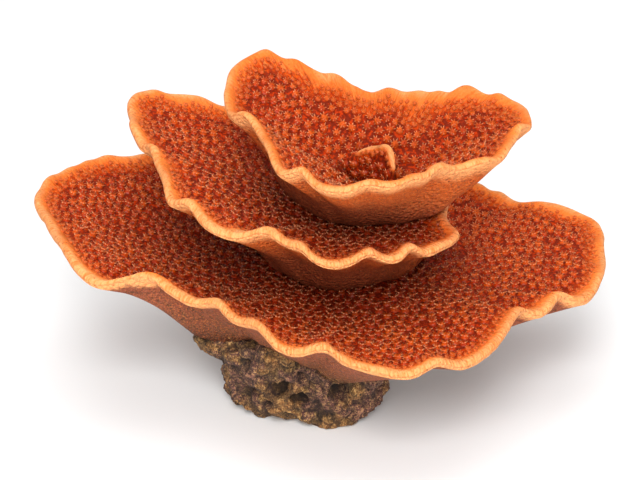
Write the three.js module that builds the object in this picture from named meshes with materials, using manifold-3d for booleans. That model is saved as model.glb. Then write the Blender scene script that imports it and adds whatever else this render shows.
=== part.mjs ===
import Module from "manifold-3d";
import * as THREE from "three";

// Plate montipora coral on its lump of reef rock: three ruffled plates that grow one above the other, a small
// curled lobe inside the top one, and the rock that the lowest plate has grown over.
// Sizes are in millimetres and +Z is up. The origin is the middle of the flat underside of the rock.

// Driving dimensions
const PLATE_THICKNESS = 3.6; // of a plate at its rounded rim
const SEAT_GAP = 0.35; // between a foot and what it has grown on
const RUFFLE_WIDTH = 7; // the rim is averaged over this length to find the plate's broad shape
const RUFFLE_REACH = 9; // a ruffle fades out over this distance from the rim
const LIP = PLATE_THICKNESS / 2; // radius of the rounded rim

// The rims, as points [x, y, z] along the outermost edge, anticlockwise seen from above. Each ruffle has a point
// on its crest and one in its trough.
const LOWER_RIM = [
  [93, 15, 37], [93.5, 22, 36.5], [93.5, 27, 38], [94.5, 33, 37], [93.5, 42, 37.5], [91, 46.5, 37],
  [87.5, 48.5, 38], [84, 50, 39.5], [81, 51.5, 38.5], [79, 52.5, 39.5], [74.5, 54, 39], [68.5, 55.5, 38],
  [64.5, 57, 41], [61, 58, 40.5], [56.5, 60.5, 43], [51, 62.5, 41.5], [45, 64.5, 43.5], [39, 66, 42],
  [31, 67.5, 44], [23, 68.5, 43], [14, 69.5, 46], [6, 69.5, 45.5], [-3, 70, 48], [-12, 69, 47.5],
  [-21, 68.5, 50.5], [-30, 66.5, 50], [-38, 64.5, 53], [-46, 62.5, 52], [-53, 60, 54], [-58.5, 58.5, 53],
  [-65, 56.5, 55], [-68.5, 54.5, 54], [-71, 52, 55], [-73.5, 49, 54.5], [-76, 46, 55.5], [-79, 42.5, 54.5],
  [-81.5, 38, 56], [-83.5, 31.5, 54.5], [-84, 25, 55.5], [-82.5, 19, 54], [-79.5, 11, 55],
  [-76.5, 2.5, 54.5], [-72.5, -8.5, 56], [-69, -16.5, 54.5], [-64, -22.5, 52], [-60, -24, 51],
  [-56.5, -24, 52], [-50, -24, 53.5], [-45.5, -23.5, 54.5], [-42, -24.5, 51], [-38, -26, 49], [-32, -28.5, 47],
  [-27, -29.5, 49], [-24, -32.5, 47], [-19.5, -36, 45], [-15, -40, 47], [-11.5, -43, 45], [-8.5, -46.5, 43],
  [-3, -49, 42], [1, -50, 43], [5.5, -49.5, 45], [8.5, -51, 42.5], [13.5, -54, 41], [20.5, -56, 40],
  [26, -56.5, 39], [30, -56, 38.5], [35, -54.5, 40], [38.5, -53, 41.5], [45, -49, 37.5], [51, -44, 37.5],
  [56, -38, 38.5], [59, -32, 39.5], [64, -20.5, 40.5], [66.5, -19, 38.5], [70.5, -16.5, 36.5],
  [74, -13.5, 38], [77.5, -8.5, 40], [81, -8, 37], [85, -6, 35.5], [89, 1, 36], [91.5, 7.5, 38],
];
const MIDDLE_RIM = [
  [46, -11, 60.5], [44, -7, 61], [42.5, -2.5, 61.5], [43, 4, 62], [43.5, 11, 62], [42, 19, 62.5],
  [38.5, 27, 64], [32, 34, 63.5], [23, 39, 66], [11, 43, 66], [1, 47, 69], [-9, 50, 69.5], [-18, 52.5, 73],
  [-26, 53.5, 73], [-30.5, 54, 74.5], [-36.5, 55, 77], [-39.5, 55.5, 75.5], [-42.5, 55.5, 77],
  [-45, 55.5, 76.5], [-47.5, 55.5, 78.5], [-50, 55, 77], [-52.5, 54, 78.5], [-55, 50.5, 78],
  [-56, 45, 77.5], [-54.5, 38, 76.5], [-54, 29, 78.5], [-52, 24, 76], [-49.5, 19, 75], [-47.5, 16.5, 77.5],
  [-46, 12, 75.5], [-44, 6, 74], [-42, -3, 74.5], [-41, -9, 73], [-39, -13, 71.5], [-35.5, -15.5, 74.5],
  [-32.5, -18, 72], [-29.5, -23, 70.5], [-26, -26, 69.5], [-20.5, -27, 68], [-15, -27, 69],
  [-11.5, -26.5, 70.5], [-8, -27, 67.5], [-4.5, -29.5, 66.5], [-2.5, -30.5, 68], [0, -32.5, 66],
  [3.5, -35, 64], [8, -35.5, 63], [12, -34.5, 63], [15.5, -33, 64], [19, -31.5, 65.5], [23.5, -29, 61.5],
  [28, -28, 61.5], [31.5, -25, 64], [35.5, -22.5, 60], [39.5, -20.5, 61], [43, -16.5, 60.5],
];
const UPPER_RIM = [
  [67.5, 10, 86.5], [67.5, 18, 87], [66.5, 25.5, 86], [62.5, 28.5, 87], [59.5, 30, 88.5], [56.5, 31, 87],
  [52, 32, 89], [49, 32, 90.5], [44.5, 31, 88], [40.5, 30.5, 89.5], [37.5, 30, 88.5], [33.5, 30, 90],
  [30.5, 29.5, 88.5], [26, 29.5, 91], [20.5, 30, 88.5], [17.5, 31, 89.5], [13, 33.5, 90.5], [9, 36, 93],
  [6.5, 37, 91.5], [1, 40.5, 92.5], [-4.5, 42.5, 95], [-7.5, 43.5, 94], [-12.5, 43.5, 97.5],
  [-15, 43, 96.5], [-19, 40, 95.5], [-23, 34, 94.5], [-24, 28, 92.5], [-24.5, 23, 92], [-24, 18, 90.5],
  [-22.5, 10.5, 90], [-18.5, 5.5, 93], [-15.5, 2, 91], [-13, -4, 89.5], [-11, -12, 90], [-9, -20, 88],
  [-6.5, -24, 87], [-1, -27.5, 90], [1.5, -30, 87.5], [4, -32.5, 87], [7.5, -35.5, 87.5], [11.5, -36, 87.5],
  [14.5, -35.5, 88.5], [17.5, -35, 89.5], [21, -34, 88.5], [25, -32.5, 87.5], [28, -31.5, 88],
  [31.5, -29, 88.5], [35, -25.5, 87], [39, -21.5, 88.5], [43, -18, 86], [47, -16, 85.5], [50.5, -15.5, 87],
  [54, -13.5, 86.5], [57.5, -9.5, 85], [60, -5, 86.5], [62.5, 1.5, 86.5], [64.5, 5, 89],
];

// Each plate's floor at its middle, and how its floor rises (1 is a cone, more is a bowl). The wall under it runs
// straight from the rim to the foot where flare, waist and sag are 0: flare lets it follow the upper face before
// it falls away, waist draws it in above the foot, and sag lowers it by a distance, given for each bearing. A foot
// is the outline on which a plate has grown, as its reach from a centre at each bearing. Bearings are in degrees.
const LOWER_PLATE = {
  name: "lower_plate", rim: LOWER_RIM, samples: 120, floor: [6, 6, 34], bowl: 1.7, flare: 0.15, waist: 0,
  sag: [
    [0, 4], [25, 1], [60, 0], [150, 0], [180, -3], [195, -5], [215, -5], [232, -2], [250, 0], [300, 1],
    [325, 5], [337, 7], [350, 6],
  ],
};
const MIDDLE_PLATE = {
  name: "middle_plate", rim: MIDDLE_RIM, samples: 84, floor: [10, 4, 57], bowl: 1.35, flare: 0.3, waist: 0.3,
  sag: [[0, 0], [180, 0]],
  foot: {
    centre: [13, 23],
    reach: [
      [0, 25], [35, 19], [60, 15], [90, 13], [120, 15], [150, 22], [180, 28], [202, 24], [222, 23],
      [256, 22.5], [280, 20.5], [299, 19.5], [321, 21.5], [337, 23.5],
    ],
  },
};
const UPPER_PLATE = {
  name: "upper_plate", rim: UPPER_RIM, samples: 84, floor: [21, 4, 67], bowl: 1.3, flare: 0.15, waist: 0.15,
  sag: [[0, 2.5], [40, 0], [130, -2], [170, -4], [205, -4], [230, 0], [300, 0], [335, 2.5]],
  foot: {
    centre: [19, 14],
    reach: [
      [0, 22.5], [30, 16], [60, 11], [90, 10], [128, 13], [152, 20], [174, 26], [182, 24.5], [198, 21.5],
      [214, 19.5], [245, 16.5], [280, 16.2], [310, 21], [320, 24.5], [328, 25], [337, 24],
    ],
  },
};

// Rings of points along each spoke of a plate: distances in from the rim, then shares of what is left.
const RIM_RINGS = [0.6, 2.4, 7.5];
const FLOOR_RINGS = [0.7, 0.4, 0.14];
const WALL_RINGS = [0.2, 0.45, 0.72];
const SEAT_RINGS = [1, 0.5];

// The lobe stands along this path on the floor of the top plate, with its height at each point.
const LOBE_PATH = [[11, 12.5], [14, 10], [18, 7], [22, 3.5], [25, 0], [26.2, -5]];
const LOBE_HEIGHTS = [1.2, 5, 10.3, 13.8, 12.8, 5.5];
const LOBE_THICKNESS = 3.4;
const LOBE_STEPS = 14;

// The rock: a blunt boulder with lumps and pits, each given by bearing and elevation in degrees from the rock's
// middle, depth in mm (negative for a pit) and width in degrees.
const ROCK_MIDDLE = new THREE.Vector3(0, 0, 13);
const ROCK_REACH = [26, 23, 17];
const ROCK_BLUNTNESS = 2.4;
const ROCK_COLUMNS = 52;
const ROCK_ROWS = 15;
const ROCK_LUMPS = [
  [194, 21, 13, 14], [190, 4, -7, 8], [188, -24, 3.5, 10], [226, -33, 2, 8], [248, -37, -1, 8],
  [235, 31, 8, 16], [262, 26, 6, 14], [284, -31, 3.3, 12], [297, -27, 3.2, 10], [316, -28, 4, 11],
  [315, 12, 6, 16], [339, -24, 3.5, 9], [352, 14, 3, 14], [20, -18, 2.5, 13], [52, 10, 3, 15], [88, -16, 3, 14],
  [120, 12, 3.5, 15], [148, -18, 3, 13], [225, -5, -4, 8], [251, 6, -4.5, 9], [268, 13, -3, 7],
  [265, -9, -4, 8], [298, -4, -3.5, 9], [330, 2, -3, 9], [10, 2, -4, 10], [70, -6, -4, 10], [165, -12, -3, 9],
];

// The edge of the lowest plate's foot, where it has grown down over the rock: elevation from the rock's middle,
// in degrees, at each bearing.
const FOOT_EDGE = [
  [0, 26], [30, 28], [60, 26], [90, 29], [120, 25], [150, 27], [175, 24], [190, 20], [204, 20], [218, 27],
  [232, 33], [246, 31], [262, 27], [274, 20], [286, 9], [295, 6], [303, 12], [315, 22], [335, 27],
];

const FOOT_DEPTH = 2.5; // how far inside the rock the foot's edge lies before the rock cuts it

const manifold = await Module();
manifold.setup();
const { Manifold, Mesh } = manifold;

const DEGREE = Math.PI / 180;
const lerp = THREE.MathUtils.lerp;

// The value at an angle of a closed list of [angle in degrees, value], eased between its entries.
function aroundLoop(entries, degrees) {
  const angle = ((degrees % 360) + 360) % 360;
  const next = entries.findIndex(([at]) => at > angle);
  const [toAngle, toValue] = next < 0 ? [entries[0][0] + 360, entries[0][1]] : entries[next];
  const [fromAngle, fromValue] = entries[(next < 0 ? entries.length : next) - 1];
  const share = THREE.MathUtils.smoothstep(angle, fromAngle, toAngle);
  return lerp(fromValue, toValue, share);
}

// The unit vector at a bearing and an elevation in degrees.
function wayTo(bearing, elevation) {
  const level = Math.cos(elevation * DEGREE);
  return new THREE.Vector3(
    level * Math.cos(bearing * DEGREE),
    level * Math.sin(bearing * DEGREE),
    Math.sin(elevation * DEGREE),
  );
}

// Distance from the rock's middle to its surface, in a direction given in degrees.
function rockReach(bearing, elevation) {
  const way = wayTo(bearing, elevation).toArray();
  const share = way.reduce((sum, w, i) => sum + Math.abs(w / ROCK_REACH[i]) ** ROCK_BLUNTNESS, 0);
  let reach = share ** (-1 / ROCK_BLUNTNESS);
  for (const [atBearing, atElevation, height, width] of ROCK_LUMPS) {
    const turn = (((bearing - atBearing) % 360) + 540) % 360 - 180;
    const apart = Math.hypot(turn * Math.cos(atElevation * DEGREE), elevation - atElevation);
    reach += height * Math.exp(-((apart / width) ** 2));
  }
  return reach;
}

function rockPoint(bearing, elevation, clearance = 0) {
  const reach = rockReach(bearing, elevation) + clearance;
  return wayTo(bearing, elevation).multiplyScalar(reach).add(ROCK_MIDDLE);
}

// A closed surface from rings of points, all with the same count, and a pole point at each end.
function closedSurface(firstPole, rings, lastPole) {
  const count = rings[0].length;
  const points = [firstPole, ...rings.flat(), lastPole];
  const last = points.length - 1;
  const at = (ring, i) => 1 + ring * count + (i % count);
  const index = [];
  for (let i = 0; i < count; i++) {
    index.push(0, at(0, i), at(0, i + 1));
    for (let ring = 0; ring + 1 < rings.length; ring++) {
      const [a, b] = [at(ring, i), at(ring, i + 1)];
      const [c, d] = [at(ring + 1, i), at(ring + 1, i + 1)];
      index.push(a, c, b, b, c, d);
    }
    index.push(last, at(rings.length - 1, i + 1), at(rings.length - 1, i));
  }
  const geometry = new THREE.BufferGeometry();
  geometry.setAttribute("position", new THREE.Float32BufferAttribute(points.flatMap((p) => p.toArray()), 3));
  geometry.setIndex(index);
  geometry.computeVertexNormals();
  return geometry;
}

// A plate's rim in even steps, and its broad shape: the same loop with the ruffles averaged out.
function rimLoops(points, samples) {
  const curve = new THREE.CatmullRomCurve3(points.map((p) => new THREE.Vector3(...p)), true, "catmullrom", 0.5);
  const edge = curve.getSpacedPoints(samples).slice(0, samples);
  const step = curve.getLength() / samples;
  const spread = Math.ceil((2.5 * RUFFLE_WIDTH) / step);
  const broad = edge.map((_, i) => {
    const mean = new THREE.Vector3();
    let total = 0;
    for (let k = -spread; k <= spread; k++) {
      const weight = Math.exp(-0.5 * ((k * step) / RUFFLE_WIDTH) ** 2);
      mean.addScaledVector(edge[(i + k + samples) % samples], weight);
      total += weight;
    }
    return mean.divideScalar(total);
  });
  return { edge, broad };
}

// A plate as spokes that run from the middle of its floor to its rim.
function plateForm({ rim, samples, floor, bowl }) {
  const { edge, broad } = rimLoops(rim, samples);
  const middle = new THREE.Vector3(...floor);
  const lengths = broad.map((b) => Math.hypot(b.x - middle.x, b.y - middle.y));
  // The plate's mid-surface on spoke i, at a distance in from the rim.
  const mid = (i, inward) => {
    const share = 1 - inward / lengths[i];
    const point = new THREE.Vector3(
      lerp(middle.x, broad[i].x, share),
      lerp(middle.y, broad[i].y, share),
      lerp(middle.z, broad[i].z, Math.max(share, 0) ** bowl),
    );
    const ruffle = Math.exp(-((inward / RUFFLE_REACH) ** 2));
    return point.addScaledVector(edge[i], ruffle).addScaledVector(broad[i], -ruffle);
  };
  // Unit vectors along the spoke, outward, and square to the mid-surface, upward.
  const directions = (i, inward) => {
    const along = mid(i, Math.max(inward - 1, 0)).sub(mid(i, inward + 1)).normalize();
    const level = Math.hypot(along.x, along.y);
    return { along, up: new THREE.Vector3((-along.x * along.z) / level, (-along.y * along.z) / level, level) };
  };
  // Height of the upper face on spoke i.
  const upperFace = (i, inward) => mid(i, inward).z + LIP / directions(i, inward).up.z;
  // Height of the upper face over any point of the floor.
  const heightAt = (x, y) => {
    const angleTo = (v) => Math.atan2(v.y - middle.y, v.x - middle.x);
    const wanted = Math.atan2(y - middle.y, x - middle.x);
    const turnFrom = (i) => (wanted - angleTo(broad[i]) + 4 * Math.PI) % (2 * Math.PI);
    let before = 0;
    for (let i = 1; i < samples; i++) if (turnFrom(i) < turnFrom(before)) before = i;
    const after = (before + 1) % samples;
    const whole = (angleTo(broad[after]) - angleTo(broad[before]) + 2 * Math.PI) % (2 * Math.PI);
    const share = turnFrom(before) / whole;
    const out = Math.hypot(x - middle.x, y - middle.y);
    const height = (i) => upperFace(i, lengths[i] - out);
    return lerp(height(before), height(after), share);
  };
  return { samples, edge, middle, lengths, mid, directions, upperFace, heightAt };
}

// A point of the rounded rim or of a face near it: side is 1 above the mid-surface and -1 below it.
function edgePoint(form, i, inward, side) {
  const { up } = form.directions(i, inward);
  const height = inward < LIP ? Math.sqrt(LIP ** 2 - (LIP - inward) ** 2) : LIP;
  return form.mid(i, inward).addScaledVector(up, side * height);
}

// The solid of a plate: upper face from the middle out, round the rim, and down the wall to the foot.
function plateGeometry(plate, form, footPoint) {
  const { flare, waist, sag } = plate;
  const spokes = [...Array(form.samples).keys()];
  const ring = (makePoint) => spokes.map(makePoint);
  const nearest = RIM_RINGS.at(-1);
  const upper = [
    ...[...FLOOR_RINGS].reverse().map((share) => ring((i) => {
      const inward = form.lengths[i] - (form.lengths[i] - nearest) * share;
      const point = form.mid(i, inward);
      return point.setZ(form.upperFace(i, inward));
    })),
    ...[...RIM_RINGS].reverse().map((inward) => ring((i) => edgePoint(form, i, inward, 1))),
  ];
  const rim = ring((i) => edgePoint(form, i, 0, 0));
  const under = RIM_RINGS.slice(0, 2).map((inward) => ring((i) => edgePoint(form, i, inward, -1)));
  const seatPole = footPoint(0, 0);
  const wallCurves = spokes.map((i) => {
    const start = edgePoint(form, i, RIM_RINGS[1], -1);
    const end = footPoint(i, 1);
    const span = Math.hypot(start.x - end.x, start.y - end.y);
    const alongUpperFace = edgePoint(form, i, RIM_RINGS[1] + span / 2, -1);
    const aboveFoot = end.clone().setZ(lerp(end.z, start.z, 0.5));
    const spread = start.clone().lerp(end, 1 / 3).lerp(alongUpperFace, flare);
    const drawn = end.clone().lerp(start, 1 / 3).lerp(aboveFoot, waist);
    const bearing = Math.atan2(start.y - form.middle.y, start.x - form.middle.x) / DEGREE;
    spread.z -= aroundLoop(sag, bearing);
    drawn.z -= aroundLoop(sag, bearing) * 0.8;
    return new THREE.CubicBezierCurve3(start, spread, drawn, end);
  });
  const wall = WALL_RINGS.map((share) => ring((i) => wallCurves[i].getPoint(share)));
  const seat = SEAT_RINGS.map((share) => ring((i) => footPoint(i, share)));
  const floorPole = form.middle.clone().setZ(form.heightAt(form.middle.x + 0.1, form.middle.y));
  return closedSurface(floorPole, [...upper, rim, ...under, ...wall, ...seat], seatPole);
}

// The foot of a plate that has grown on the plate below: its outline, laid on that plate's upper face.
function footOnPlate({ foot }, form, below) {
  const [middleX, middleY] = foot.centre;
  return (i, share) => {
    const bearing = Math.atan2(form.edge[i].y - middleY, form.edge[i].x - middleX);
    const reach = share * aroundLoop(foot.reach, bearing / DEGREE);
    const x = middleX + reach * Math.cos(bearing);
    const y = middleY + reach * Math.sin(bearing);
    return new THREE.Vector3(x, y, below.heightAt(x, y) + SEAT_GAP);
  };
}

// The foot of the lowest plate: just inside the rock at FOOT_EDGE, so that the rock's surface cuts it there.
function footInRock(form) {
  return (i, share) => {
    const bearing = Math.atan2(form.edge[i].y - ROCK_MIDDLE.y, form.edge[i].x - ROCK_MIDDLE.x) / DEGREE;
    const edge = rockPoint(bearing, aroundLoop(FOOT_EDGE, bearing), -FOOT_DEPTH);
    return edge.lerp(ROCK_MIDDLE, 1 - share);
  };
}

// The rock: rings of points round its middle, with everything below the ground brought up level with it.
function rockGeometry(clearance = 0) {
  const onGround = (point) => point.setZ(Math.max(point.z, 0));
  const rings = [];
  for (let row = 1; row < ROCK_ROWS; row++) {
    const elevation = 90 - (180 * row) / ROCK_ROWS;
    const bearings = [...Array(ROCK_COLUMNS).keys()].map((i) => (360 * i) / ROCK_COLUMNS);
    rings.push(bearings.map((bearing) => onGround(rockPoint(bearing, elevation, clearance))));
  }
  return closedSurface(rockPoint(0, 90, clearance), rings, onGround(rockPoint(0, -90)));
}

// The first solid with the second one cut away.
function cutAway(geometry, cutter) {
  const solidOf = ({ attributes, index }) => new Manifold(new Mesh({
    numProp: 3,
    vertProperties: new Float32Array(attributes.position.array),
    triVerts: new Uint32Array(index.array),
  }));
  const { vertProperties, triVerts } = solidOf(geometry).subtract(solidOf(cutter)).getMesh();
  const rest = new THREE.BufferGeometry();
  rest.setAttribute("position", new THREE.Float32BufferAttribute(vertProperties, 3));
  rest.setIndex([...triVerts]);
  rest.computeVertexNormals();
  return rest;
}

// The lobe: a fin with a rounded top that follows its path over the floor of the top plate.
function lobeGeometry(below) {
  const path = new THREE.CatmullRomCurve3(LOBE_PATH.map(([x, y]) => new THREE.Vector3(x, y, 0)));
  const heights = new THREE.SplineCurve(LOBE_HEIGHTS.map((height, i) => new THREE.Vector2(i, height)));
  const half = LOBE_THICKNESS / 2;
  // The fin's cross-section: how far across, as a share of half its thickness, and how far up.
  const section = [[-1.15, 0], [-1, 0.45], [-0.9, 0.8], [-0.45, 0.96], [0, 1], [0.45, 0.96], [0.9, 0.8],
    [1, 0.45], [1.15, 0], [0, 0]];
  const sectionAt = (share, narrow) => {
    const centre = path.getPoint(share);
    const along = path.getTangent(share);
    const height = heights.getPoint(share).y;
    return section.map(([across, up]) => {
      const offset = across * half * narrow;
      const x = centre.x - along.y * offset;
      const y = centre.y + along.x * offset;
      return new THREE.Vector3(x, y, below.heightAt(x, y) + SEAT_GAP + up * height);
    });
  };
  const rings = [];
  for (let step = 0; step <= LOBE_STEPS; step++) {
    const share = step / LOBE_STEPS;
    const narrow = Math.min(1, 0.35 + 4 * share, 0.35 + 5 * (1 - share));
    rings.push(sectionAt(share, narrow));
  }
  const centreOf = (ring) => ring.reduce((sum, p) => sum.add(p), new THREE.Vector3()).divideScalar(ring.length);
  return closedSurface(centreOf(rings[0]), rings, centreOf(rings.at(-1)));
}

// Colours from the outside of each piece
const FINISHES = {
  coral: { color: 0xc2481c, roughness: 0.55, metalness: 0 },
  lobe: { color: 0xd8672c, roughness: 0.55, metalness: 0 },
  rock: { color: 0x6d5a3e, roughness: 0.9, metalness: 0 },
};

function piece(name, geometry, finish) {
  const mesh = new THREE.Mesh(geometry, new THREE.MeshStandardMaterial(FINISHES[finish]));
  mesh.name = name;
  return mesh;
}

const lower = plateForm(LOWER_PLATE);
const middle = plateForm(MIDDLE_PLATE);
const upper = plateForm(UPPER_PLATE);

const coral = new THREE.Group();
coral.add(piece("base_rock", rockGeometry(), "rock"));
const lowerSolid = plateGeometry(LOWER_PLATE, lower, footInRock(lower));
coral.add(piece(LOWER_PLATE.name, cutAway(lowerSolid, rockGeometry(SEAT_GAP)), "coral"));
const middleFoot = footOnPlate(MIDDLE_PLATE, middle, lower);
coral.add(piece(MIDDLE_PLATE.name, plateGeometry(MIDDLE_PLATE, middle, middleFoot), "coral"));
const upperFoot = footOnPlate(UPPER_PLATE, upper, middle);
coral.add(piece(UPPER_PLATE.name, plateGeometry(UPPER_PLATE, upper, upperFoot), "coral"));
coral.add(piece("inner_lobe", lobeGeometry(upper), "lobe"));

export default coral;
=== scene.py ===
import math
import random

import bmesh
import bpy
import numpy as np
from mathutils import Matrix, Vector, noise
from mathutils.bvhtree import BVHTree
from mathutils.kdtree import KDTree


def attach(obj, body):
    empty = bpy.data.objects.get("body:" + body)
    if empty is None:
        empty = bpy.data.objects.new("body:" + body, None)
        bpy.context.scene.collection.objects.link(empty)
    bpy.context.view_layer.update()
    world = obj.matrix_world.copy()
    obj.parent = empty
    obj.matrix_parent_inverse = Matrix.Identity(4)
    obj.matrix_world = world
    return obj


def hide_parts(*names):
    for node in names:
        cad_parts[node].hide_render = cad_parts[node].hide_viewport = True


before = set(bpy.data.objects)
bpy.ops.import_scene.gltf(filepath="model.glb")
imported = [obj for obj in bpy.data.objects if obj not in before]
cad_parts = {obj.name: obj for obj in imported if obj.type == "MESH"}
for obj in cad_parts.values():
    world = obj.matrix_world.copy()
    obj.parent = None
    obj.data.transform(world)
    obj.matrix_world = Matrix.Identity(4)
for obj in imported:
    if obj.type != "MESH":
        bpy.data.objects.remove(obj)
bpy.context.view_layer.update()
MM = 0.001
SEED = 11

# The photograph's camera
VIEW_TARGET = Vector((4.5, 0.0, 53.4)) * MM
VIEW_ELEVATION = math.radians(27.0)
VIEW_DISTANCE = 720 * MM
LENS = 135.0

# Copies of the solids
MERGE_DISTANCE = 0.002 * MM
QUAD_FACE_ANGLE = math.radians(40)  # two triangles become a quad if they are bent by less than this
QUAD_SHAPE_ANGLE = math.radians(60)  # and if the quad's corners are this close to square
FIT = 0.8  # how closely a smooth surface goes back to the solid's own points, 0 to 1

# Rims
LINE_STEP = 0.4 * MM
BEARING_STEP = 4  # degrees; a rim has one vertex of the solid for each step
STRAY_SHARE = 0.94  # a vertex nearer the middle than this share of both its neighbours isn't on the rim
EDGE_TILT = 0.05  # a sharp edge lies between a face that looks up and one that looks down, by this or more

# Skin of the plates
SKIN_SUBDIVISIONS = 2
FOLD_DEPTH = 0.35 * MM  # the fine folds that run inwards from the rim
FOLD_ZONE = 14 * MM
FOLD_SCALE = 300  # folds per metre of rim, nearly
FOLD_STRETCH = Vector((1, 1, 0.25))  # they are four times as long inwards as they are wide
SKY_RAYS = 40  # how open a place is to the sky is measured with this many rays
SKY_REACH = 60 * MM
SKY_START = 0.6 * MM  # the rays start this far off the surface
SKY_LIFT = Vector((0, 0, 0.6))  # and are turned from the surface's normal towards the top by this
RIM_BAND = 3.8 * MM  # width of the bare band inside each rim, where no polyps grow
POLYP_SINK = 1.35 * MM  # the floor between the polyps lies this far under the solid's face
UPPER_TURN = 0.15  # the upper face's finish turns to the wall's as the normal's z goes from this to minus it
COVER_MARGIN = 5 * MM  # from this far in, a place that the plate itself covers belongs to the wall
COVER_START = Vector((0, 0, 2.5 * MM))  # what covers a place is looked for from this far above it
UP = Vector((0, 0, 1))
FOOT_SINK = 1.4 * MM  # the feet of the upper plates go this far into the skin below
FOOT_TILT = -0.2  # a plate's foot looks down by this much or more
FOOT_INSET = 14 * MM  # and is this far from the rim
FOOT_FULL = 2 * MM  # it sinks in full up to this height above its lowest point
FOOT_FADE = 6 * MM  # and not at all from this one up

# The standing lobe
# Its path over the floor of the top plate, in mm, from where it is half as high as at its highest
LOBE_PATH = [(16.5, 8.2), (18, 7), (22, 3.5), (25, 0), (26.2, -4.6)]
CREST_POINTS = 6  # looked for between each two points of the path
CREST_START = 1.0  # metres above the ground, from where the crest is looked for
LOBE_LEAST_OPEN = 0.55  # its faces count as open to at least this share of the sky
LOBE_EDGE_SCALE = 2.4  # its bare band is this many times narrower than a plate's
LOBE_SINK_SHARE = 0.4  # its skin lies this share as deep under the solid as a plate's

# Polyps
DEPTH_SPACING = 1.2  # polyps stand this much further apart from front to back than from side to side
POLYP_SPACING = 2.5 * MM  # the least distance between two polyps, away from the rim
BUD_SPACING = 1.4 * MM  # and beside the rim band
BUD_ZONE = 8 * MM  # over which the spacing grows from one to the other
THROW_AREA = 0.4 * BUD_SPACING ** 2  # of ground, for each place that is tried
SPREADING_STEPS = 5
SPREADING_REACH = 1.28  # places nearer than this many spacings push each other away
SPREADING_PUSH = 0.3
GROUND_SHARE = 0.5  # how much of the upper face's finish the polyp ground has at least
RIM_LINE = 0.6 * MM  # vertices this near the rim's line show which way the rim lies
POLYP_RADIUS = 1.75 * MM
POLYP_SIZES = (0.88, 1.08)  # a polyp's size varies between these shares
BUD_SIZE = 0.5  # beside the rim band a polyp has this share of its full size
BUD_LEAN = 0.5  # and leans this much towards the rim
# Each form of polyp: its number of arms, how far they lean out in radians, their length and its seed
POLYP_FORMS = [(8, 1.2, 0.94, 1), (7, 1.08, 0.9, 2), (7, 0.92, 0.86, 3)]
# One polyp's own shape, in radii
DOME_SIZE = (0.76, 0.76, 0.5)
DOME_CUT = -0.1  # of the unit ball, what is below this is left out
DOME_TOP = 0.45  # the dome's top, above this, is pressed in
DOME_DENT = -0.12
DOME_FOOT = 0.1  # below this a vertex counts as the dome's foot
ARM_ROOT = (0.16, 0, 0.4)
ARM_WIDTH = 0.3
ARM_SPREAD = 0.18  # an arm's bearing varies by this share of a step
ARM_LENGTHS = (0.8, 1.15)  # its length and its lean vary between these shares of its form's
ARM_LEANS = (0.85, 1.15)


class Num:
    """A number socket that can be used in Python expressions."""

    def __init__(self, nodes, socket):
        self.nodes = nodes
        self.socket = socket

    def _math(self, operation, *values):
        made = self.nodes.new("ShaderNodeMath", {"operation": operation}, dict(enumerate(values)))
        return Num(self.nodes, made.outputs[0])

    def __add__(self, other):
        return self._math("ADD", self, other)

    def __radd__(self, other):
        return self._math("ADD", other, self)

    def __sub__(self, other):
        return self._math("SUBTRACT", self, other)

    def __rsub__(self, other):
        return self._math("SUBTRACT", other, self)

    def __mul__(self, other):
        return self._math("MULTIPLY", self, other)

    def __rmul__(self, other):
        return self._math("MULTIPLY", other, self)

    def clamp(self):
        made = self.nodes.new("ShaderNodeClamp", {}, {"Value": self})
        return Num(self.nodes, made.outputs[0])

    def step(self, low, high):
        """0 at low and 1 at high, smooth between them."""
        made = self.nodes.new(
            "ShaderNodeMapRange",
            {"interpolation_type": "SMOOTHSTEP"},
            {"Value": self, "From Min": low, "From Max": high},
        )
        return Num(self.nodes, made.outputs[0])


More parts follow.
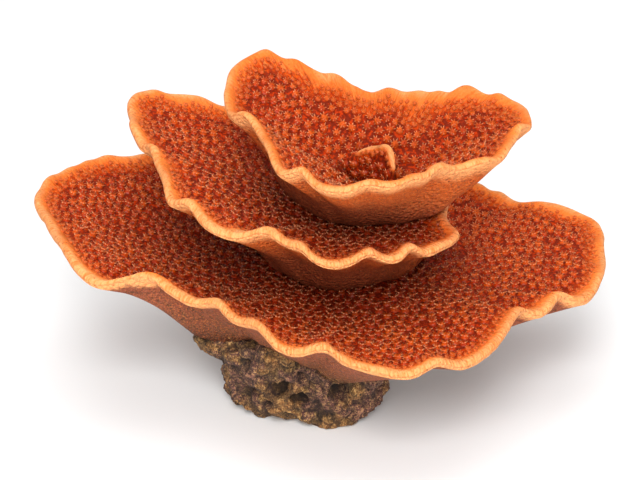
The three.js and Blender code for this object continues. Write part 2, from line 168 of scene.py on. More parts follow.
class Finish:
    """A material and the nodes that are added to it."""

    def __init__(self, name):
        self.material = bpy.data.materials.new(name)
        self.material.use_nodes = True
        self.tree = self.material.node_tree
        self.shader = next(n for n in self.tree.nodes if n.type == "BSDF_PRINCIPLED")

    def plug(self, socket, value):
        if isinstance(value, Num):
            value = value.socket
        if isinstance(value, bpy.types.NodeSocket):
            self.tree.links.new(value, socket)
        else:
            socket.default_value = value

    def new(self, kind, settings, values):
        made = self.tree.nodes.new(kind)
        for key, value in settings.items():
            setattr(made, key, value)
        for key, value in values.items():
            self.plug(made.inputs[key], value)
        return made

    def attribute(self, name):
        """A number kept on the mesh."""
        return Num(self, self.new("ShaderNodeAttribute", {"attribute_name": name}, {}).outputs["Fac"])

    def vector(self, name):
        """A vector kept on the mesh."""
        return self.new("ShaderNodeAttribute", {"attribute_name": name}, {}).outputs["Vector"]

    def place(self):
        return self.new("ShaderNodeTexCoord", {}, {}).outputs["Object"]

    def scaled(self, vector, scale):
        return self.new("ShaderNodeVectorMath", {"operation": "MULTIPLY"}, {0: vector, 1: scale}).outputs[0]

    def noise(self, vector, scale, detail=3.0, roughness=0.55, distortion=0.0):
        values = {"Vector": vector, "Scale": scale, "Detail": detail}
        values.update({"Roughness": roughness, "Distortion": distortion})
        return Num(self, self.new("ShaderNodeTexNoise", {}, values).outputs[0])

    def cells(self, vector, scale):
        """The distance to the nearest of scattered points."""
        values = {"Vector": vector, "Scale": scale}
        return Num(self, self.new("ShaderNodeTexVoronoi", {}, values).outputs["Distance"])

    def mix(self, share, a, b, blend="MIX"):
        """Colour a where share is 0 and colour b where it is 1."""
        made = self.new("ShaderNodeMix", {"data_type": "RGBA", "blend_type": blend}, {})
        for socket, value in ((made.inputs[0], share), (made.inputs[6], a), (made.inputs[7], b)):
            self.plug(socket, value)
        return made.outputs[2]

    def bump(self, height, distance, strength):
        values = {"Height": height, "Distance": distance, "Strength": strength}
        self.plug(self.shader.inputs["Normal"], self.new("ShaderNodeBump", {}, values).outputs[0])

    def set(self, **values):
        for key, value in values.items():
            self.plug(self.shader.inputs[key.replace("_", " ")], value)
        return self.material


def colour(code):
    """A colour from its six-figure screen code, as the shader wants it."""
    parts = [int(code[i:i + 2], 16) / 255 for i in (0, 2, 4)]
    return [p / 12.92 if p <= 0.04045 else ((p + 0.055) / 1.055) ** 2.4 for p in parts] + [1.0]


RIM_PALE = colour("F2A265")
RIM_WARM = colour("DF8040")
BUD_ORANGE = colour("E2702E")
RIM_PORE = colour("B4602C")
RIM_INNER = colour("EA7830")
ORANGE = colour("E05A0C")
RED_ORANGE = colour("C23802")
DEEP_RED = colour("8C2608")
SHADE_RED = colour("5A1404")
MAROON = colour("7A220A")
# the polyps' pale tips, also the colour of their painted glints
TIP_PALE_GLINT = colour("FFBE8C")
WALL_SALMON = colour("CC5E24")
WALL_BROWN = colour("9A4A2C")
UNDER_MAUVE = colour("8E4C36")
UNDER_BROWN = colour("5E3E2C")
ROCK_OLIVE = colour("9A6432")
ROCK_DARK = colour("22140A")
ROCK_CREAM = colour("DCAA68")
ROCK_PURPLE = colour("6C3E38")
ROCK_PINK = colour("A46A5C")
ROCK_GREEN = colour("7C5422")


def world_bvh(names):
    """One search tree over the named CAD nodes."""
    joined = bmesh.new()
    for name in names:
        joined.from_mesh(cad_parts[name].data)
    tree = BVHTree.FromBMesh(joined)
    joined.free()
    return tree


def sky_directions(count):
    """Even directions over the upper half of a sphere, more of them towards the top."""
    turn = math.pi * (3 - math.sqrt(5))
    directions = []
    for i in range(count):
        level = math.sqrt((i + 0.5) / count)
        x, y = level * math.cos(i * turn), level * math.sin(i * turn)
        directions.append(Vector((x, y, math.sqrt(1 - level * level))))
    return directions


def openness(point, normal, tree, directions):
    """The share of the sky that a point of the surface sees, 0 to 1."""
    start = point + normal * SKY_START
    turned = UP.rotation_difference((normal + SKY_LIFT).normalized())
    clear = sum(tree.ray_cast(start, turned @ d, SKY_REACH)[0] is None for d in directions)
    return clear / len(directions)


def cad_copy(name):
    """A merged copy of a CAD node's mesh, with its triangles joined to quads."""
    shape = bmesh.new()
    shape.from_mesh(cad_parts[name].data)
    bmesh.ops.remove_doubles(shape, verts=shape.verts, dist=MERGE_DISTANCE)
    bmesh.ops.join_triangles(
        shape, faces=shape.faces, angle_face_threshold=QUAD_FACE_ANGLE, angle_shape_threshold=QUAD_SHAPE_ANGLE
    )
    shape.normal_update()
    return shape


def dense(points):
    """The points of a closed line, no further apart than LINE_STEP."""
    line = []
    for a, b in zip(points, points[1:] + points[:1]):
        steps = max(1, math.ceil((b - a).length / LINE_STEP))
        line += [a.lerp(b, i / steps) for i in range(steps)]
    return line


def plate_rim(shape):
    """The rim of a plate: the outermost vertex at each bearing, joined to a closed line."""
    low, high = (Vector(f(v.co[i] for v in shape.verts) for i in range(3)) for f in (min, max))
    centre = (low + high) / 2
    outermost = {}
    for vert in shape.verts:
        away = vert.co - centre
        bearing = int(math.degrees(math.atan2(away.y, away.x)) % 360 / BEARING_STEP)
        if bearing not in outermost or away.xy.length > outermost[bearing][0]:
            outermost[bearing] = (away.xy.length, vert.co.copy())
    found = [outermost[bearing] for bearing in sorted(outermost)]
    stray = True
    while stray:
        pairs = zip(found[-1:] + found[:-1], found, found[1:] + found[:1])
        stray = [here for before, here, after in pairs if here[0] < STRAY_SHARE * min(before[0], after[0])]
        found = [f for f in found if f not in stray]
    return dense([co for _, co in found])


def sharp_edges(shape):
    """More of the rim: the edges where faces that look up meet faces that look down."""
    points = []
    for edge in shape.edges:
        up, down = sorted((f.normal.z for f in edge.link_faces), reverse=True)
        if up > EDGE_TILT and down < -EDGE_TILT:
            points += dense([v.co.copy() for v in edge.verts])
    return points


def lobe_crest(shape):
    """The crest of the standing lobe: the highest points over its path."""
    tree = BVHTree.FromBMesh(shape)
    crest = []
    for a, b in zip(LOBE_PATH, LOBE_PATH[1:]):
        for i in range(CREST_POINTS):
            x, y = Vector(a).lerp(Vector(b), i / (CREST_POINTS - 1)) * MM
            top = tree.ray_cast(Vector((x, y, CREST_START)), -UP)[0]
            if top:
                crest.append(top)
    return dense(crest + crest[-2:0:-1])


def search_tree(points):
    tree = KDTree(len(points))
    for i, point in enumerate(points):
        tree.insert(point, i)
    tree.balance()
    return tree


def smooth_share(value, low, high):
    """0 at low and 1 at high, smooth between them."""
    t = min(max((value - low) / (high - low), 0.0), 1.0)
    return t * t * (3 - 2 * t)


def evaluated_copy(obj):
    return bpy.data.meshes.new_from_object(obj.evaluated_get(bpy.context.evaluated_depsgraph_get()))


def subdivided(shape, name, levels):
    """An object with the coarse shape's mesh made smooth by a Subdivision Surface. The coarse points are
    first moved out, so that the smooth surface passes close to where they were."""
    mesh = bpy.data.meshes.new(name)
    shape.to_mesh(mesh)
    shape.free()
    obj = bpy.data.objects.new(name, mesh)
    bpy.context.collection.objects.link(obj)
    soft = obj.modifiers.new("soft", "SUBSURF")
    wanted = points_of(mesh)
    soft.levels = soft.render_levels = 1
    trial = evaluated_copy(obj)
    move_points(mesh, wanted + FIT * (wanted - points_of(trial)[:len(wanted)]))
    bpy.data.meshes.remove(trial)
    soft.levels = soft.render_levels = levels
    smooth = evaluated_copy(obj)
    obj.modifiers.clear()
    obj.data = smooth
    bpy.data.meshes.remove(mesh)
    smooth.name = name
    smooth.shade_smooth()
    return obj


def points_of(mesh, field="co"):
    """The places (or the normals) of all vertices, as rows."""
    values = np.empty(len(mesh.vertices) * 3)
    mesh.vertices.foreach_get(field, values)
    return values.reshape(-1, 3)


def move_points(mesh, points):
    mesh.vertices.foreach_set("co", np.asarray(points, dtype=np.float64).ravel())
    mesh.update()


def keep(mesh, name, values, kind="FLOAT"):
    """Keeps one value for each vertex on the mesh."""
    if name in mesh.attributes:
        mesh.attributes.remove(mesh.attributes[name])
    layer = mesh.attributes.new(name, kind, "POINT")
    field = "vector" if kind == "FLOAT_VECTOR" else "value"
    layer.data.foreach_set(field, np.asarray(values, dtype=np.float32).ravel())


def finish_piece(obj, material, slot, *nodes):
    obj.data.materials.clear()
    obj.data.materials.append(material)
    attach(obj, "root")
    if nodes:
        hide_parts(*nodes)


# The plates' skin


def keep_openness(shape, sky, least):
    """Keeps on each vertex how open it is to the sky, which is never less than the value given."""
    directions = sky_directions(SKY_RAYS)
    layer = shape.verts.layers.float.new("open")
    for vert in shape.verts:
        vert[layer] = max(openness(vert.co, vert.normal, sky, directions), least)


def sink_foot(shape, near, depth, lobe):
    """Lowers a foot into the skin that it stands on. A lobe is all foot at its lower end."""
    lowest = min(v.co.z for v in shape.verts)
    for vert in shape.verts:
        if lobe or (vert.normal.z < FOOT_TILT and near.find(vert.co)[2] > FOOT_INSET):
            vert.co.z -= depth * smooth_share(vert.co.z, lowest + FOOT_FADE, lowest + FOOT_FULL)


def plate_skin(name, sky, foot_sink, lobe=False):
    """A plate's living skin, with what its material and its polyps need kept on the mesh: "edge" is the
    distance to the rim, "along" a place along the rim and that distance, "upper" is 1 on the polyps' side and
    0 on the wall, and "open" is the share of the sky in view."""
    shape = cad_copy(name)
    rim = lobe_crest(shape) if lobe else plate_rim(shape)
    own = BVHTree.FromBMesh(shape)
    centre = sum(rim, Vector()) / len(rim)
    near = search_tree(rim if lobe else rim + sharp_edges(shape))
    radius = sum((p - centre).xy.length for p in rim) / len(rim)
    keep_openness(shape, sky, LOBE_LEAST_OPEN if lobe else 0.0)
    if foot_sink:
        sink_foot(shape, near, foot_sink, lobe)
    obj = subdivided(shape, f"{name}_skin", SKIN_SUBDIVISIONS)
    mesh = obj.data
    places, normals = points_of(mesh), points_of(mesh, "normal")
    edge, along, upper, sink = [], [], [], []
    for place, normal in zip(places, normals):
        turn = math.atan2(place[1] - centre.y, place[0] - centre.x)
        distance = near.find(place)[2] * (LOBE_EDGE_SCALE if lobe else 1)
        edge.append(distance)
        along.append((radius * math.cos(turn), radius * math.sin(turn), distance))
        share = smooth_share(normal[2], -UPPER_TURN, UPPER_TURN)
        if share > 0 and distance > COVER_MARGIN:
            share *= own.ray_cast(Vector(place) + COVER_START, UP)[0] is None
        upper.append(1.0 if lobe else share)
        fold = 0.5 + 0.5 * noise.noise(Vector(along[-1]) * FOLD_SCALE * FOLD_STRETCH)
        fold *= FOLD_DEPTH * (1 - smooth_share(distance, FOLD_ZONE * 0.4, FOLD_ZONE))
        sink.append(fold + POLYP_SINK * upper[-1] * smooth_share(distance, RIM_BAND * 0.6, RIM_BAND * 1.6))
    move_points(mesh, places - normals * np.array(sink)[:, None] * (LOBE_SINK_SHARE if lobe else 1.0))
    keep(mesh, "edge", edge)
    keep(mesh, "along", along, "FLOAT_VECTOR")
    keep(mesh, "upper", upper)
    return obj


# Polyps


def polyp_shape(arms, lean, length, seed):
    """One polyp: a low dome with a star of short tapered arms. Returns its vertices, its faces and a number
    for each vertex, which is 1 at an arm's tip, -1 at the dome's foot and 0 between them."""
    turns = random.Random(seed)
    shape = bmesh.new()
    tip = shape.verts.layers.float.new("tip")
    bmesh.ops.create_uvsphere(shape, u_segments=8, v_segments=4, radius=1)
    bmesh.ops.delete(shape, geom=[v for v in shape.verts if v.co.z < DOME_CUT], context="VERTS")
    bmesh.ops.scale(shape, vec=DOME_SIZE, verts=shape.verts)
    bmesh.ops.translate(shape, vec=(0, 0, DOME_DENT), verts=[v for v in shape.verts if v.co.z > DOME_TOP])
    for i in range(arms):
        turn = 2 * math.pi * (i + turns.uniform(-ARM_SPREAD, ARM_SPREAD)) / arms
        reach = length * turns.uniform(*ARM_LENGTHS)
        place = (
            Matrix.Rotation(turn, 4, "Z")
            @ Matrix.Translation(ARM_ROOT)
            @ Matrix.Rotation(lean * turns.uniform(*ARM_LEANS), 4, "Y")
            @ Matrix.Translation((0, 0, reach / 2))
        )
        arm = bmesh.ops.create_cone(
            shape, cap_ends=False, segments=3, radius1=ARM_WIDTH, radius2=0.0, depth=reach, matrix=place
        )["verts"]
        end = max((place.inverted() @ v.co).z for v in arm)
        for vert in arm:
            if (place.inverted() @ vert.co).z > end - 0.01:
                vert[tip] = 1.0
    for vert in shape.verts:
        if vert.co.z < DOME_FOOT:
            vert[tip] = -1.0
    bmesh.ops.remove_doubles(shape, verts=shape.verts, dist=0.001)
    bmesh.ops.recalc_face_normals(shape, faces=shape.faces)
    bmesh.ops.triangulate(shape, faces=shape.faces)
    shape.verts.index_update()
    points = np.array([v.co[:] for v in shape.verts])
    faces = np.array([[v.index for v in f.verts] for f in shape.faces])
    tips = np.array([v[tip] for v in shape.verts])
    shape.free()
    return points, faces, tips


def grown_share(margin):
    """How far grown a polyp is at this distance from the rim, from 0 for a bud to 1."""
    return smooth_share(margin, RIM_BAND, RIM_BAND + BUD_ZONE)


def polyp_spacing(margin):
    return BUD_SPACING + (POLYP_SPACING - BUD_SPACING) * grown_share(margin)


def scatter(mesh, rng):
    """Even places over the polyp ground. Each is (place, normal, distance to the rim, openness)."""
    mesh.calc_loop_triangles()
    corners = np.array([t.vertices[:] for t in mesh.loop_triangles])
    points, normals = points_of(mesh), points_of(mesh, "normal")
    kept = {}
    for name in ("edge", "upper", "open"):
        kept[name] = np.empty(len(points))
        mesh.attributes[name].data.foreach_get("value", kept[name])
    on_top = kept["upper"][corners].min(axis=1) > GROUND_SHARE
    corners = corners[on_top & (kept["edge"][corners].max(axis=1) > RIM_BAND * 0.8)]
    surface = BVHTree.FromPolygons([Vector(p) for p in points], corners.tolist())
    a, b, c = (points[corners[:, i]] for i in range(3))
    areas = np.linalg.norm(np.cross(b - a, c - a), axis=1) / 2
    tries = int(areas.sum() / THROW_AREA)
    chosen = rng.choice(len(corners), size=tries, p=areas / areas.sum())
    shares = rng.dirichlet((1, 1, 1), tries)
    thrown = (points[corners[chosen]] * shares[..., None]).sum(axis=1)
    margins = (kept["edge"][corners[chosen]] * shares).sum(axis=1)
    grid = {}
    places = []
    for spot, margin in zip(thrown, margins):
        if margin < RIM_BAND:
            continue
        least = polyp_spacing(margin)
        place = spot / (1, DEPTH_SPACING, 1)
        x, y, z = (int(k // POLYP_SPACING) for k in place)
        near = (
            other
            for i in (x - 1, x, x + 1) for j in (y - 1, y, y + 1) for k in (z - 1, z, z + 1)
            for other in grid.get((i, j, k), ())
        )
        if any(((place - other) ** 2).sum() < least * least for other in near):
            continue
        grid.setdefault((x, y, z), []).append(place)
        places.append((Vector(spot), margin))
    for _ in range(SPREADING_STEPS):
        places = spread(places, surface, corners, kept["edge"], points)
    found = []
    for place, margin in places:
        _, _, face, _ = surface.find_nearest(place)
        normal = normals[corners[face]].mean(axis=0)
        open_sky = kept["open"][corners[face]].mean()
        found.append((np.array(place), normal / np.linalg.norm(normal), margin, open_sky))
    return found


def spread(places, surface, corners, edge, points):
    """One step of evening out: each place moves away from its neighbours and back onto the surface."""
    squeeze = Vector((1, 1 / DEPTH_SPACING, 1))
    tree = search_tree([p * squeeze for p, _ in places])
    moved = []
    for place, margin in places:
        wanted = polyp_spacing(margin) * SPREADING_REACH
        push = Vector()
        for other, _, distance in tree.find_range(place * squeeze, wanted):
            if distance > 0:
                push += (place * squeeze - other) * (SPREADING_PUSH * (wanted - distance) / distance)
        spot, _, face, _ = surface.find_nearest(place + push)
        weights = [1 / ((Vector(points[c]) - spot).length + 1e-9) for c in corners[face]]
        new_margin = sum(w * edge[c] for w, c in zip(weights, corners[face])) / sum(weights)
        moved.append((spot, new_margin) if new_margin > RIM_BAND else (place, margin))
    return moved


def joined_polyps(name, found, rim_direction, rng):
    """Every polyp of a plate as one mesh. "edge" and "open" are those of a polyp's place, and "pick" is a
    number of its own."""
    forms = [polyp_shape(*form) for form in POLYP_FORMS]
    all_points, all_faces = [], []
    kept = {"tip": [], "edge": [], "open": [], "pick": []}
    start = 0
    for place, normal, margin, open_sky in found:
        points, faces, tips = forms[rng.integers(len(forms))]
        grown = grown_share(margin)
        size = POLYP_RADIUS * (BUD_SIZE + (1 - BUD_SIZE) * grown) * rng.uniform(*POLYP_SIZES)
        up = (Vector(normal) + rim_direction(place) * (BUD_LEAN * (1 - grown))).normalized()
        turn = rng.uniform(0, 2 * math.pi)
        facing = up.to_track_quat("Z", "Y").to_matrix() @ Matrix.Rotation(turn, 3, "Z")
        all_points.append((points * size) @ np.array(facing).T + place)
        all_faces.append(faces + start)
        kept["tip"].append(tips)
        for key, value in (("edge", margin), ("open", open_sky), ("pick", rng.random())):
            kept[key].append(np.full(len(points), value))
        start += len(points)
    points = np.concatenate(all_points)
    faces = np.concatenate(all_faces)
    mesh = bpy.data.meshes.new(name)
    mesh.vertices.add(len(points))
    mesh.vertices.foreach_set("co", points.ravel())
    mesh.loops.add(faces.size)
    mesh.loops.foreach_set("vertex_index", faces.ravel())
    mesh.polygons.add(len(faces))
    mesh.polygons.foreach_set("loop_start", np.arange(0, faces.size, 3))
    mesh.update(calc_edges=True)
    mesh.shade_smooth()
    for key, values in kept.items():
        keep(mesh, key, np.concatenate(values))
    obj = bpy.data.objects.new(name, mesh)
    bpy.context.collection.objects.link(obj)
    return obj


def grow_polyps(skin, name, rng):
    """The polyps of a finished skin. Those beside the rim band lean towards the rim."""
    mesh = skin.data
    edge = mesh.attributes["edge"].data
    tree = search_tree([v.co.copy() for v, e in zip(mesh.vertices, edge) if e.value < RIM_LINE])

    def towards_rim(place):
        away = tree.find(place)[0] - Vector(place)
        return away.normalized() if away.length > 0 else UP

    return joined_polyps(name, scatter(mesh, rng), towards_rim, rng)


# Materials. A pattern on Object coordinates has its scale per metre, one along the rim per millimetre.

IN_MM = 1000.0
RIB_STRETCH = (1000.0, 1000.0, 220.0)  # ribs run inwards from the rim, nearly five times as long as wide
COMB_STRETCH = (1000.0, 1000.0, 400.0)


def skin_finish(name, wall_colour, foot_colour, turn_start, turn_end, crust_start=None):
    """The skin of a plate: a pale ribbed rim, an orange zone inside it and dark red between the polyps. Its
    wall goes from the rim's colour to wall_colour, turn_start to turn_end mm from the rim, and on to
    foot_colour. A crust like the rock's covers it from about crust_start mm on."""
    f = Finish(name)
    place = f.place()
    along = f.vector("along")
    edge = f.attribute("edge") * IN_MM
    upper = f.attribute("upper")
    shade = 1 - f.attribute("open").step(0.05, 0.75)
    near_rim = edge.step(9.0, 3.0)
    ribs = (f.noise(f.scaled(along, RIB_STRETCH), 1.5, detail=2.0) - 0.5) * near_rim + 0.5
    comb = f.noise(f.scaled(along, COMB_STRETCH), 1.7, detail=2.0)
    blotch = f.noise(place, 90.0, detail=2.0)
    grain = f.noise(place, 900.0, detail=3.0)
    speck = f.noise(f.scaled(place, (1.0, 1.0, 0.4)), 1000.0, detail=3.0)
    dust = f.noise(place, 2100.0, detail=2.0, roughness=0.7)
    pits = f.cells(place, 850.0)
    pores = f.cells(place, 620.0).step(0.24, 0.12) * blotch.step(0.3, 0.6)
    wander = edge + (blotch - 0.5) * 3.0 + (ribs - 0.5) * 3.5  # the distance to the rim, made uneven

    rim = f.mix(ribs.step(0.3, 0.6), RIM_WARM, RIM_PALE)
    zone = f.mix(grain.step(0.35, 0.65), RED_ORANGE, ORANGE)
    zone = f.mix(comb.step(0.5, 0.64) * near_rim, zone, RIM_WARM)
    zone = f.mix(comb.step(0.48, 0.36) * near_rim, zone, DEEP_RED)
    ground = f.mix(grain.step(0.42, 0.56), MAROON, DEEP_RED)
    ground = f.mix(grain.step(0.5, 0.62), ground, RED_ORANGE)
    top = f.mix(wander.step(1.5, 3.2), rim, RIM_INNER)
    top = f.mix(wander.step(3.0, 5.4), top, zone)
    top = f.mix(wander.step(4.6, 8.5), top, ground)
    top = f.mix(pores * near_rim * 0.8, top, RIM_PORE)

    wall = f.mix(wander.step(turn_start, turn_end), RIM_PALE, wall_colour)
    # the wall turns to foot_colour further from the rim, and partly as painted shade where less of the sky is
    # in view
    wall = f.mix((edge.step(8.0, 30.0) * 0.8 + shade * 0.3).clamp(), wall, foot_colour)
    wall = f.mix(speck.step(0.5, 0.64) * wander.step(1.5, 6.0) * 0.75, wall, foot_colour)
    wall = f.mix(pits.step(0.3, 0.12) * wander.step(2.0, 6.0) * 0.3, wall, RIM_WARM)
    wall = f.mix(dust.step(0.52, 0.64) * wander.step(3.0, 9.0) * 0.45, wall, RIM_WARM)
    wall = f.mix(dust.step(0.47, 0.36) * wander.step(3.0, 9.0) * 0.5, wall, UNDER_BROWN)
    if crust_start:
        crust = f.mix(grain.step(0.5, 0.62), UNDER_BROWN, ROCK_OLIVE)
        crust = f.mix(grain.step(0.58, 0.7), crust, ROCK_CREAM)
        crust = f.mix(speck.step(0.5, 0.38), crust, ROCK_DARK)
        patchy = edge + (blotch - 0.5) * 30.0 + (grain - 0.5) * 14.0
        wall = f.mix(patchy.step(crust_start, crust_start + 5.0), wall, crust)
    wall = f.mix(pores * near_rim * 0.6, wall, RIM_PORE)

    base = f.mix(upper, wall, top)
    # painted shade: darker red where less of the sky is in view
    base = f.mix(shade * 0.5, base, DEEP_RED, "MULTIPLY")
    relief = ribs * 0.5 + comb * near_rim * 0.4 + grain * 0.6 - speck * 0.5 - pits * (1 - upper) * 0.9
    f.bump(relief, 0.0012, 0.9)
    return f.set(
        Base_Color=base,
        Roughness=0.62,
        Specular_IOR_Level=0.1,
        Subsurface_Weight=0.1,
        Subsurface_Scale=0.0015,
    )


def polyp_finish():
    """Polyps: red-orange, more orange towards the rim, with pale tips that carry painted glints, and painted
    shade at their feet and where less of the sky is in view.
    """
    f = Finish("polyps")
    edge = f.attribute("edge") * IN_MM
    tip = f.attribute("tip")
    pick = f.attribute("pick")
    shade = 1 - f.attribute("open").step(0.1, 0.85)
    speck = f.noise(f.place(), 1400.0, detail=2.0)
    body = f.mix(pick.step(0.0, 1.0), RED_ORANGE, ORANGE)
    body = f.mix(speck.step(0.6, 0.35) * 0.6, body, DEEP_RED)
    body = f.mix(tip.step(0.0, 0.6) * 0.35, body, BUD_ORANGE)
    body = f.mix(edge.step(9.0, 4.0) * 0.6, body, BUD_ORANGE)
    body = f.mix(shade * 0.85, body, SHADE_RED)
    # painted shade: each polyp's dome darkens towards its foot
    body = f.mix(tip.step(-0.2, -1.0) * 0.85, body, DEEP_RED)
    # painted glint: the arms' tips turn pale in random specks, less so in painted shade; the pale is partly
    # the tips' own colour
    pale = f.mix(edge.step(12.0, 4.0) * 0.7, TIP_PALE_GLINT, RIM_PALE)
    glint = (tip.step(0.4, 0.85) * speck.step(0.36, 0.54) * (0.8 - 0.35 * shade)).clamp()
    f.bump(speck, 0.0004, 0.6)
    return f.set(Base_Color=f.mix(glint, body, pale), Roughness=0.35, Specular_IOR_Level=0.2)


def rock_finish():
    """Reef rock: brown and olive grains, purple and pink crusts, cream and dark specks, and painted shade in
    its holes and hollows.
    """
    f = Finish("reef_rock")
    place = f.place()
    pit_shade = f.attribute("pit_shade")
    crust = f.noise(place, 75.0, detail=3.0, distortion=0.6)
    patch = f.noise(place, 160.0, detail=4.0)
    grain = f.noise(place, 850.0, detail=4.0, roughness=0.7)
    fleck = f.noise(place, 2300.0, detail=2.0, roughness=0.7)
    beads = f.cells(place, 480.0)
    base = f.mix(patch.step(0.38, 0.62), ROCK_OLIVE, ROCK_GREEN)
    base = f.mix(crust.step(0.46, 0.56), base, ROCK_PURPLE)
    base = f.mix(crust.step(0.54, 0.66) * grain.step(0.45, 0.62), base, ROCK_PINK)
    base = f.mix(grain.step(0.52, 0.66) * (1 - crust.step(0.5, 0.62) * 0.6), base, ROCK_CREAM)
    base = f.mix(fleck.step(0.52, 0.64) * 0.6, base, ROCK_CREAM)
    base = f.mix(fleck.step(0.48, 0.38) * 0.6, base, ROCK_DARK)
    base = f.mix(grain.step(0.48, 0.34), base, ROCK_DARK)
    base = f.mix(beads.step(0.35, 0.7) * 0.6, base, ROCK_DARK)
    # painted shade in the rock's holes and hollows
    base = f.mix(pit_shade, base, ROCK_DARK)
    f.bump(grain * 0.8 - beads * 0.5 + fleck * 0.3, 0.0016, 1.0)
    return f.set(Base_Color=base, Roughness=0.8)


# The rock

ROCK_MIDDLE = Vector((0, 0, 13)) * MM
ROCK_SUBDIVISIONS = 3
GROUND_ZONE = 2.5 * MM  # below this height the relief moves points up and down less and less
# Its relief: how many knobs, beads or grains there are in a millimetre, and how high they are
KNOBS_PER_MM = 0.18
KNOB_HEIGHT = 4.2 * MM
BEADS_PER_MM = 0.5
BEAD_HEIGHT = 1.2 * MM
GRAINS_PER_MM = 1.1
GRAIN_HEIGHT = 0.3 * MM
CELL_LEVEL = 0.42  # a place this far from the nearest cell point stays level
HOLE_REACH = 3  # in radii, past which a hole has no effect
HOLE_WAVINESS = 0.7
HOLE_WAVES = 420  # per metre
# Holes in its sides: bearing and elevation in degrees from the rock's middle, radius and depth in mm
ROCK_HOLES = [
    (-135, -4, 1.65, 3.2), (-109, 4, 1.95, 3.6), (-92, 15, 1.5, 3.0), (-95, -7, 1.8, 3.4),
    (-65, -1, 2.1, 3.8), (-132, 18, 1.2, 2.4), (-119, -13, 1.35, 2.6), (-30, 4, 1.65, 3.0),
    (20, -6, 1.95, 3.4), (62, 8, 1.65, 3.0), (100, -4, 1.95, 3.4), (140, 2, 1.65, 3.0), (172, -12, 1.5, 2.8),
]


def way_to(bearing, elevation):
    """The unit vector at a bearing and an elevation in degrees."""
    turn, rise = math.radians(bearing), math.radians(elevation)
    return Vector((math.cos(rise) * math.cos(turn), math.cos(rise) * math.sin(turn), math.sin(rise)))


def hole_share(place, way, radius):
    """How far into a hole a point of the rock is, from 0 outside to 1 in the hole's middle."""
    out = place - ROCK_MIDDLE
    apart = (out.normalized() - way).length * out.length / radius
    if apart >= HOLE_REACH:
        return 0.0
    apart = max(0.0, apart + noise.noise(place * HOLE_WAVES) * HOLE_WAVINESS)
    return math.exp(-(apart ** 3))


def rock_piece():
    """The rock with its knobs, beads, grains and holes. "pit" is the painted shade in its holes and hollows,
    1 where it is darkest.
    """
    obj = subdivided(cad_copy("base_rock"), "rock", ROCK_SUBDIVISIONS)
    mesh = obj.data
    holes = [(way_to(bearing, rise), radius * MM, depth * MM) for bearing, rise, radius, depth in ROCK_HOLES]
    places, normals = points_of(mesh), points_of(mesh, "normal")
    pits, pushes = [], []
    for point in places:
        place = Vector(point)
        shares = [hole_share(place, way, radius) for way, radius, _ in holes]
        q = place * IN_MM
        knob = (CELL_LEVEL - noise.voronoi(q * KNOBS_PER_MM)[0][0]) * KNOB_HEIGHT
        bead = (CELL_LEVEL - noise.voronoi(q * BEADS_PER_MM)[0][0]) * BEAD_HEIGHT
        grain = noise.fractal(q * GRAINS_PER_MM, 0.8, 2.1, 3) * GRAIN_HEIGHT
        pushes.append(knob + bead + grain - sum(share * hole[2] for share, hole in zip(shares, holes)))
        # painted shade: the low places of the relief and the holes are kept dark
        hollow = smooth_share(-(knob * 0.5 + bead + grain), 0.3 * MM, 1.1 * MM) * 0.75
        pits.append(max(hollow, *shares))
    moves = normals * np.array(pushes)[:, None]
    moves[:, 2] *= np.clip(places[:, 2] / GROUND_ZONE, 0, 1)
    moved = places + moves
    moved[:, 2] = np.maximum(moved[:, 2], 0)
    move_points(mesh, moved)
    keep(mesh, "pit_shade", pits)
    return obj


# Build

rng = np.random.default_rng(SEED)
ALL_NODES = ["base_rock", "lower_plate", "middle_plate", "upper_plate", "inner_lobe"]
sky = world_bvh(ALL_NODES)

rock = rock_piece()
finish_piece(rock, rock_finish(), "rock", "base_rock")

tier_finish = skin_finish("coral_skin", WALL_SALMON, WALL_BROWN, 1.5, 8.0)
low_finish = skin_finish("coral_skin_low", UNDER_MAUVE, UNDER_BROWN, 2.0, 5.0, crust_start=29.0)
star_finish = polyp_finish()

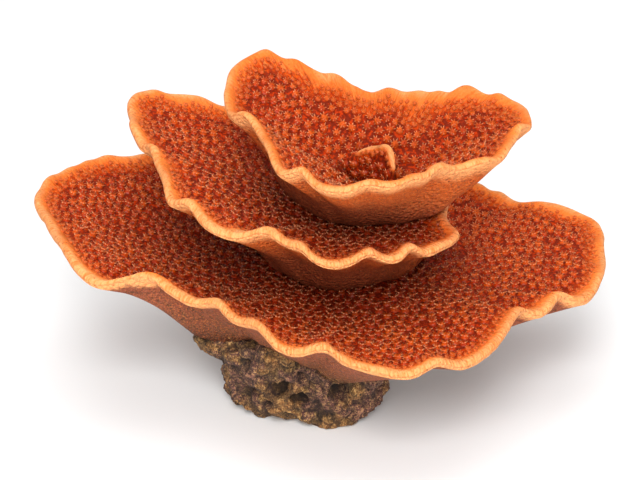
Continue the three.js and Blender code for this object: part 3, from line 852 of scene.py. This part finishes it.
for node, polyps_name, finish, foot_sink in (
    ("lower_plate", "lower_polyps", low_finish, 0),
    ("middle_plate", "middle_polyps", tier_finish, FOOT_SINK),
    ("upper_plate", "upper_polyps", tier_finish, FOOT_SINK),
    ("inner_lobe", "lobe_polyps", tier_finish, FOOT_SINK),
):
    skin = plate_skin(node, sky, foot_sink, lobe=node == "inner_lobe")
    finish_piece(skin, finish, "coral", node)
    finish_piece(grow_polyps(skin, polyps_name, rng), star_finish, "coral")

# Floor, light and camera

FLOOR_HALF = 6.0
FLOOR_WHITE = (0.9, 0.9, 0.9, 1)
ROOM_LIGHT = 0.6
# Each soft box: its name, place and size in metres, and power in watts
SOFT_BOXES = [
    ("key", (-0.05, -0.7, 0.68), 0.4, 7.0),
    ("fill", (0.1, -0.85, 0.12), 0.5, 4.2),
    ("top", (0.0, 0.15, 0.95), 0.8, 3.4),
]


def soft_box(name, place, size, power):
    light = bpy.data.lights.new(name, "AREA")
    light.energy = power
    light.size = size
    obj = bpy.data.objects.new(name, light)
    obj.location = place
    obj.rotation_euler = (VIEW_TARGET - Vector(place)).to_track_quat("-Z", "Y").to_euler()
    bpy.context.collection.objects.link(obj)


floor_shape = bmesh.new()
bmesh.ops.create_grid(floor_shape, x_segments=1, y_segments=1, size=FLOOR_HALF)
floor_mesh = bpy.data.meshes.new("floor")
floor_shape.to_mesh(floor_mesh)
floor_shape.free()
floor = bpy.data.objects.new("floor", floor_mesh)
bpy.context.collection.objects.link(floor)
floor_mesh.materials.append(Finish("floor_white").set(Base_Color=FLOOR_WHITE, Roughness=0.9))

for box in SOFT_BOXES:
    soft_box(*box)

world = bpy.data.worlds.new("studio")
world.use_nodes = True
world.node_tree.nodes["Background"].inputs["Color"].default_value = (1, 1, 1, 1)
world.node_tree.nodes["Background"].inputs["Strength"].default_value = ROOM_LIGHT
bpy.context.scene.world = world
bpy.context.scene.view_settings.view_transform = "Standard"

camera_data = bpy.data.cameras.new("camera")
camera_data.lens = LENS
camera_data.sensor_width = 36.0
camera_data.clip_start = 0.01
camera = bpy.data.objects.new("camera", camera_data)
view_side = Vector((0, -math.cos(VIEW_ELEVATION), math.sin(VIEW_ELEVATION)))
camera.location = VIEW_TARGET + VIEW_DISTANCE * view_side
camera.rotation_euler = (VIEW_TARGET - camera.location).to_track_quat("-Z", "Y").to_euler()
bpy.context.collection.objects.link(camera)
bpy.context.scene.camera = camera
